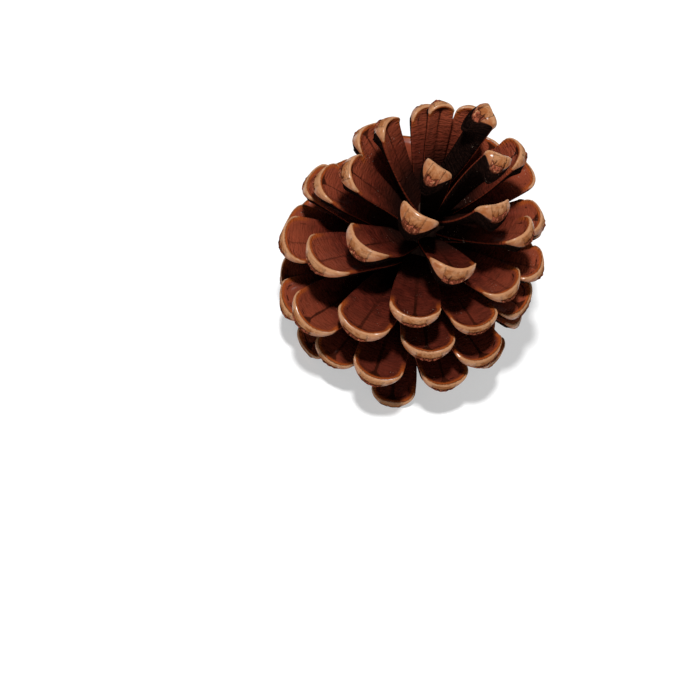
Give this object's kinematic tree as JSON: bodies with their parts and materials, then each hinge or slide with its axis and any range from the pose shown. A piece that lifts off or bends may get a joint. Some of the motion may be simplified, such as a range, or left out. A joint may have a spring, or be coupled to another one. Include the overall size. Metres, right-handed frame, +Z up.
{
  "type": "pine cone",
  "caption": "Open, dry pine cone with red-brown scales and thick tan scale ends, standing on its lowest scales.",
  "frame": {"origin": "on the surface that the cone stands on, under the middle of its box", "axes": "+Z up along the cone's axis to its tip; the side seen in the picture faces -Y"},
  "size_m": [0.0597, 0.0634, 0.074],
  "materials": {
    "cone_wood": "dry matt red-brown wood, near black deep inside, with slightly glossy tan scale ends"
  },
  "bodies": {
    "root": {"pine_cone": "cone_wood"}
  },
  "joints": []
}
